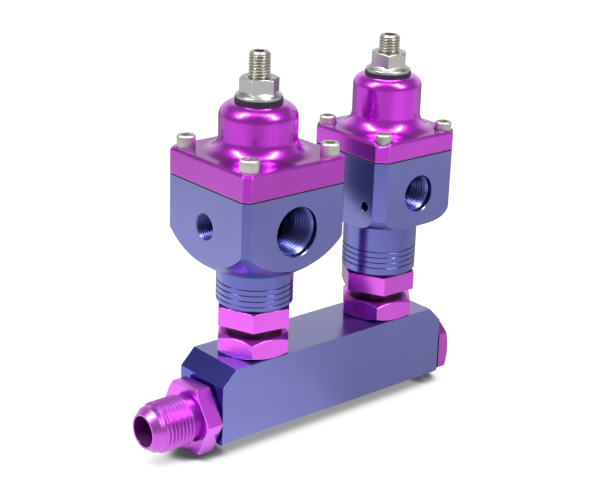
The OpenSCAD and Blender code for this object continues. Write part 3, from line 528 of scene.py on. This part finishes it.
for side in ("front", "rear"):
    purple_polished = finish_material(
        side + "_purple_polished", TURNED_DYE, colour=CAP_DYE[side], worn_colour=PURPLE_WORN_AND_LIT,
        edge_width=0.0009, edge_wear=0.6, clouds=0.05, gloss=0.25, grain_size=0.0005, grain=0.01,
    )
    shade_flange_top(purple_polished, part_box(side + "_cap")[0].z + FLANGE_THICK[side])
    purple_sides = finish_material(
        side + "_purple_sides", TURNED_DYE, colour=CAP_SIDE_DYE[side], worn_colour=PURPLE_WORN_AND_LIT,
        edge_width=0.0006, edge_wear=0.5, clouds=0.05, gloss=0.27, grain_size=0.0005, grain=0.004,
    )
    cover = merged_copy(side + "_cover", side + "_cap")
    complete(
        cover, (purple_polished, purple_sides), side + "_regulator", "purple_anodise", side + "_cap",
        choose=lambda face: on_side(face.center, side),
    )


# The cap screws: four stainless socket head screws through each flange into the body, cold headed with a
# knurled band, a chamfered crown and a hexagon socket.
SCREW = {
    "tall": 0.0044, "band": 0.0039, "shank": 0.002085, "flutes": 36, "valley": 0.972,
    "socket": 0.00206, "key": 0.0044, "key_turn": 0.3,
}
# Each step of the crown takes a share of its height and narrows by a factor.
SCREW_CROWN = ((0.45, 0.97), (0.55, 0.92))
SCREW_HEAD = {"front": 0.00343, "rear": 0.0031}
SCREW_SPREAD = {"front": 0.01825, "rear": 0.0156}
SCREW_CORNERS = ((-1, -1), (1, -1), (1, 1), (-1, 1))
SCREW_TURN = 0.7
FLAT = 0.9
screw_steel = finish_material(
    "screw_steel", {"Metallic": 1.0}, colour=(0.57, 0.55, 0.51, 1), worn_colour=(0.78, 0.77, 0.74, 1),
    edge_width=0.00012, edge_wear=0.5, clouds=0.10, gloss=0.36, grain_size=0.0003, grain=0.15,
)


def pick_faces(piece, wanted):
    """Leaves edit mode's selection on the faces that the test picks."""
    bpy.ops.mesh.select_all(action="DESELECT")
    bpy.ops.object.mode_set(mode="OBJECT")
    for face in piece.data.polygons:
        face.select = wanted(face)
    bpy.ops.object.mode_set(mode="EDIT")


def draw_out(rise, narrowing=None):
    """Draws the picked faces out along Z, and narrows them about the axis."""
    bpy.ops.mesh.extrude_region_move(TRANSFORM_OT_translate={"value": (0, 0, rise)})
    if narrowing:
        bpy.ops.transform.resize(value=(narrowing, narrowing, 1), center_override=(0, 0, 0))


def socket_screw(name, head, top, tip):
    """One screw on the Z axis: a fluted head with a crown and a hexagon socket, and its shank."""
    bottom = top - SCREW["tall"]
    bpy.ops.object.select_all(action="DESELECT")
    bpy.ops.mesh.primitive_cylinder_add(
        vertices=2 * SCREW["flutes"], radius=head, depth=SCREW["band"],
        location=(0, 0, bottom + SCREW["band"] / 2),
    )
    screw = bpy.context.object
    screw.name = screw.data.name = name
    bpy.ops.object.transform_apply()
    for corner in screw.data.vertices:
        angle = math.atan2(corner.co.y, corner.co.x) * SCREW["flutes"] / math.pi
        if round(angle) % 2:
            corner.co.x *= SCREW["valley"]
            corner.co.y *= SCREW["valley"]
    bpy.ops.object.mode_set(mode="EDIT")
    bpy.ops.mesh.select_mode(type="FACE")
    pick_faces(screw, lambda face: face.normal.z > FLAT)
    for share, narrowing in SCREW_CROWN:
        draw_out((SCREW["tall"] - SCREW["band"]) * share, narrowing)
    pick_faces(screw, lambda face: face.normal.z < -FLAT)
    draw_out(0, SCREW["shank"] / head)
    draw_out(tip - bottom)
    bpy.ops.object.mode_set(mode="OBJECT")
    bpy.ops.mesh.primitive_cylinder_add(
        vertices=6, radius=SCREW["socket"], depth=SCREW["key"], location=(0, 0, top),
        rotation=(0, 0, SCREW["key_turn"]),
    )
    key = bpy.context.object
    bpy.ops.object.transform_apply()
    cut(screw, key)
    return screw


for side in ("front", "rear"):
    spread = SCREW_SPREAD[side]
    screws_low, screws_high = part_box(side + "_cap_screws")
    screws = []
    for index, (corner_x, corner_y) in enumerate(SCREW_CORNERS):
        screw = socket_screw(f"{side}_screw_{index}", SCREW_HEAD[side], screws_high.z, screws_low.z)
        screw.data.transform(
            Matrix.Translation((BODY_AXIS_X[side] + corner_x * spread, corner_y * spread, 0))
            @ Matrix.Rotation(SCREW_TURN * index, 4, "Z")
        )
        screws.append(screw)
    bpy.ops.object.select_all(action="DESELECT")
    for screw in screws:
        screw.select_set(True)
    joined = screws[0]
    bpy.context.view_layer.objects.active = joined
    bpy.ops.object.join()
    joined.name = joined.data.name = side + "_socket_screws"
    complete(joined, (screw_steel,), side + "_regulator", "stainless", side + "_cap_screws")


# The adjusters: a stainless socket set screw through the top of each tower, threaded all the way, locked by
# a flanged zinc plated nut that squeezes a black sealing washer against the tower.
STUD_THREAD = {
    "outer": 0.00397, "deep": 0.00060, "half_width": 0.00049, "past": 0.0001,
    "pitch": 0.00105833, "turns": 24,
}
STUD_RUN_OUT = 0.0002
stud_steel = finish_material(
    "stud_steel", {"Metallic": 1.0}, colour=(0.46, 0.44, 0.40, 1), worn_colour=(0.66, 0.65, 0.62, 1),
    edge_width=0.00006, edge_wear=0.5, clouds=0.1, gloss=0.3, grain_size=0.0003, grain=0.05,
)
for side in ("front", "rear"):
    thread_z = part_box(side + "_adjusting_screw")[0].z - STUD_RUN_OUT
    stud = merged_copy(side + "_stud", side + "_adjusting_screw")
    outer_thread(stud, STUD_THREAD, (BODY_AXIS_X[side], 0, thread_z), (0, 0, 1))
    complete(stud, (stud_steel,), side + "_adjuster", "zinc_steel", side + "_adjusting_screw")
    dress(rubber, side + "_seal_washer")
    dress(zinc_plate, side + "_lock_nut")


# The floor: a wide white sweep that the assembly stands on, bright enough to be the white background and
# dark only close under the pieces. What the metal mirrors of it changes with bearing and distance.
FLOOR_HALF = 3.0
FLOOR_GREY = (0.12, 0.12, 0.12, 1)
VIEW_TURN = math.radians(-40.83)
# Bearings are in radians, to the right of the camera, and distances in metres.
BEHIND_BY_BEARING = (1.9, 2.6, 1.0, 0.18)
CLOSE_BY_DISTANCE = (0.14, 0.26, 1.0, 0.0)
CLOSE_BY_BEARING = (0.8, 1.5, 0.34, 0.0)
NEAR_BY_BEARING = (-1.8, 1.5, 0.90, 0.49)
FAR_LEFT_BY_BEARING = (-1.75, -1.3, 0.64, 0.90)
FAR_RIGHT_BY_BEARING = (0.85, 1.35, 0.0, 0.24)
NOTCH_LEFT = 0.06
NOTCH_BY_BEARING = (0.20, 0.60, 0.58, 1.0)
FAR_BY_DISTANCE = (0.30, 0.42, 0.0, 1.0)
SEEN_BY_DISTANCE = (0.25, 1.0, 0.92, 1.0)
SHADE_WITHIN = 0.008
SHADE_CORE = (0.45, 0.64, 0.06, 0.80)
SHADE_RIM = (0.62, 0.92, 0.0, 0.20)
bpy.ops.object.select_all(action="DESELECT")
bpy.ops.mesh.primitive_plane_add(size=2 * FLOOR_HALF, location=(0, 0, cad_low[2]))
floor = bpy.context.object
floor.name = floor.data.name = "floor_sweep"
bpy.ops.object.transform_apply()
sweep = bpy.data.materials.new("white_sweep")
sweep.use_nodes = True
tree = sweep.node_tree
tree.nodes.clear()
ray = add_node(tree, "LightPath").outputs
spot = add_node(
    tree, "VectorRotate",
    {"Vector": add_node(tree, "TexCoord").outputs["Object"], "Angle": -VIEW_TURN},
    rotation_type="Z_AXIS",
).outputs["Vector"]
distance = add_node(tree, "VectorMath", {0: spot}, operation="LENGTH").outputs["Value"]
across = add_node(tree, "SeparateXYZ", {0: spot}).outputs
bearing = calc(tree, "ARCTAN2", across["X"], calc(tree, "MULTIPLY", across["Y"], -1.0))
behind = ramp(tree, calc(tree, "ABSOLUTE", bearing), BEHIND_BY_BEARING)
close = calc(
    tree, "MULTIPLY", ramp(tree, distance, CLOSE_BY_DISTANCE), ramp(tree, bearing, CLOSE_BY_BEARING)
)
near = calc(tree, "ADD", close, ramp(tree, bearing, NEAR_BY_BEARING))
far = calc(
    tree, "SUBTRACT", ramp(tree, bearing, FAR_LEFT_BY_BEARING), ramp(tree, bearing, FAR_RIGHT_BY_BEARING)
)
off_notch = calc(tree, "ABSOLUTE", calc(tree, "ADD", bearing, NOTCH_LEFT))
far = calc(tree, "MULTIPLY", far, ramp(tree, off_notch, NOTCH_BY_BEARING))
reach = ramp(tree, distance, FAR_BY_DISTANCE)
level = calc(tree, "MULTIPLY_ADD", reach, calc(tree, "SUBTRACT", far, near), near)
mirrored = calc(tree, "MULTIPLY", calc(tree, "MULTIPLY", behind, level), ray["Is Glossy Ray"])
seen = calc(tree, "ADD", ray["Is Camera Ray"], ray["Is Transmission Ray"], clamp=True)
lift = calc(tree, "MULTIPLY_ADD", seen, ramp(tree, distance, SEEN_BY_DISTANCE), mirrored)
open_air = add_node(tree, "AmbientOcclusion", {"Distance": SHADE_WITHIN}, samples=24).outputs["AO"]
shade = calc(tree, "ADD", ramp(tree, open_air, SHADE_CORE), ramp(tree, open_air, SHADE_RIM))
matt = add_node(tree, "BsdfDiffuse", {"Color": FLOOR_GREY}).outputs["BSDF"]
glow = add_node(tree, "Emission", {"Strength": calc(tree, "MULTIPLY", lift, shade)}).outputs["Emission"]
lit = add_node(tree, "AddShader", {0: matt, 1: glow}).outputs["Shader"]
add_node(tree, "OutputMaterial", {"Surface": lit})
floor.data.materials.append(sweep)


# The studio: a pale room, white behind the assembly and dimmer overhead, with a tall soft box high on either
# side of the camera and a weak one above.
LAMPS = {
    "left_softbox": {"turn": -65.0, "rise": 51.0, "away": 1.1, "wide": 0.26, "tall": 0.76, "power": 18.0},
    "right_softbox": {"turn": 55.0, "rise": 51.0, "away": 1.1, "wide": 0.26, "tall": 0.76, "power": 18.0},
    "top_softbox": {"turn": 0.0, "rise": 76.0, "away": 1.1, "wide": 0.80, "tall": 0.45, "power": 1.5},
}
WHITE = (1, 1, 1, 1)
OVERHEAD = 0.30
HORIZON_BY_FACING = (-0.75, -0.15, 0.95, 0.38)
HORIZON_BY_HEIGHT = (0.36, 0.56, 1.0, 0.0)
VIEW_TARGET = Vector((-0.009812, 0, 0.06707))


def direction(turn, rise):
    """The way from the assembly to a place that is turned from its front and raised by angles."""
    return Vector((math.sin(turn) * math.cos(rise), -math.cos(turn) * math.cos(rise), math.sin(rise)))


world = bpy.data.worlds.new("studio")
bpy.context.scene.world = world
world.use_nodes = True
tree = world.node_tree
tree.nodes.clear()
ray = add_node(tree, "LightPath").outputs
toward = add_node(tree, "TexCoord").outputs["Generated"]
height = add_node(tree, "SeparateXYZ", {0: toward}).outputs["Z"]
facing = add_node(
    tree, "VectorMath", {0: toward, 1: direction(VIEW_TURN, 0)}, operation="DOT_PRODUCT"
).outputs["Value"]
horizon = calc(tree, "SUBTRACT", ramp(tree, facing, HORIZON_BY_FACING), OVERHEAD)
brightness = calc(tree, "MULTIPLY_ADD", horizon, ramp(tree, height, HORIZON_BY_HEIGHT), OVERHEAD)
studio = add_node(tree, "Background", {"Color": WHITE, "Strength": brightness}).outputs["Background"]
white = add_node(tree, "Background", {"Color": WHITE, "Strength": 1.0}).outputs["Background"]
seen = calc(tree, "ADD", ray["Is Camera Ray"], ray["Is Transmission Ray"], clamp=True)
backdrop = add_node(tree, "MixShader", {0: seen, 1: studio, 2: white}).outputs["Shader"]
add_node(tree, "OutputWorld", {"Surface": backdrop})
for name, lamp in LAMPS.items():
    out = direction(VIEW_TURN + math.radians(lamp["turn"]), math.radians(lamp["rise"]))
    light = bpy.data.lights.new(name, "AREA")
    light.shape = "RECTANGLE"
    light.size, light.size_y, light.energy = lamp["wide"], lamp["tall"], lamp["power"]
    holder = bpy.data.objects.new(name, light)
    bpy.context.scene.collection.objects.link(holder)
    holder.location = VIEW_TARGET + out * lamp["away"]
    holder.rotation_euler = out.to_track_quat("Z", "Y").to_euler()


# The camera: a long lens a little above the caps, turned to the assembly's left front corner and tipped a
# little to one side.
VIEW_RISE = math.radians(19.93)
VIEW_ROLL = math.radians(1.949)
VIEW_AWAY = 0.57167
VIEW_LENS = 91.63
VIEW_SENSOR = 36.0
VIEW_CLIP = (0.01, 20.0)
back = direction(VIEW_TURN, VIEW_RISE)
right = (-back).cross(Vector((0, 0, 1))).normalized()
up = right.cross(-back)
across = right * math.cos(VIEW_ROLL) + up * math.sin(VIEW_ROLL)
upright = up * math.cos(VIEW_ROLL) - right * math.sin(VIEW_ROLL)
lens = bpy.data.cameras.new("camera")
lens.lens, lens.sensor_width = VIEW_LENS, VIEW_SENSOR
lens.clip_start, lens.clip_end = VIEW_CLIP
camera = bpy.data.objects.new("camera", lens)
bpy.context.scene.collection.objects.link(camera)
tilt = Matrix((across, upright, back)).transposed().to_4x4()
camera.matrix_world = Matrix.Translation(VIEW_TARGET + back * VIEW_AWAY) @ tilt
bpy.context.scene.camera = camera
bpy.context.scene.view_settings.view_transform = "Standard"
